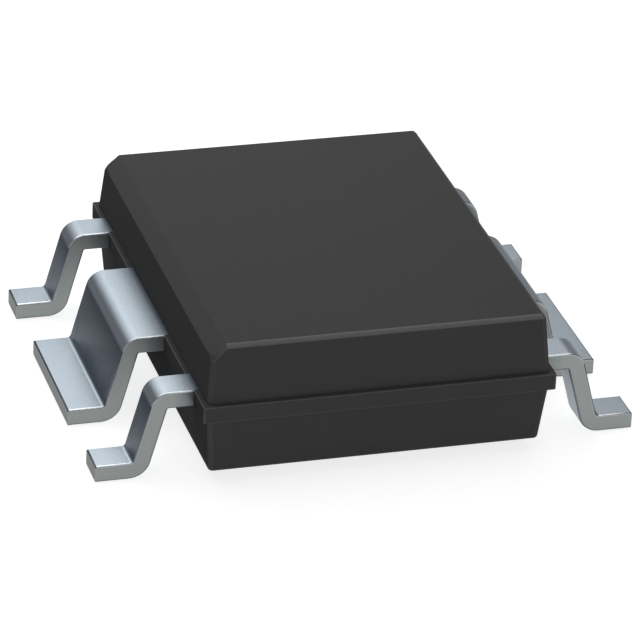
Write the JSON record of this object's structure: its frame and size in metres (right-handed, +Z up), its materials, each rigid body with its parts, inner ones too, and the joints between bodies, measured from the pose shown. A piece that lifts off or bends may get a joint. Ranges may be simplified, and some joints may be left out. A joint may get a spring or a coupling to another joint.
{
  "type": "linear voltage regulator",
  "caption": "Surface-mount linear voltage regulator: black moulded body with a bevelled pin 1 side, gull-wing leads and wide heat leads, with die, paddle and bond wires inside.",
  "frame": {"origin": "middle of the footprint, on the plane that the undersides of the feet stand on", "axes": "+X across the package from toe to toe, with the pin 1 side at -X; +Y along the body, with pin 1 at the +Y end; +Z up from the board"},
  "size_m": [0.006, 0.005, 0.0016],
  "materials": {
    "mould_compound": "fine satin-matt moulded epoxy, unmarked",
    "tinned_copper": "satin tin plating over copper alloy",
    "silver_epoxy": "dull silver-filled adhesive",
    "silicon": "polished silicon with a passivated face",
    "gold_wire": "bright drawn gold"
  },
  "bodies": {
    "root": {"mould_body": "mould_compound", "paddle_frame": "tinned_copper", "output_lead_1": "tinned_copper", "enable_lead_3": "tinned_copper", "sense_lead_4": "tinned_copper", "input_lead_6": "tinned_copper", "die_attach": "silver_epoxy", "regulator_die": "silicon", "output_wire_inner": "gold_wire", "output_wire_outer": "gold_wire", "input_wire_inner": "gold_wire", "input_wire_outer": "gold_wire", "enable_wire": "gold_wire", "sense_wire": "gold_wire", "ground_wire": "gold_wire"}
  },
  "joints": []
}
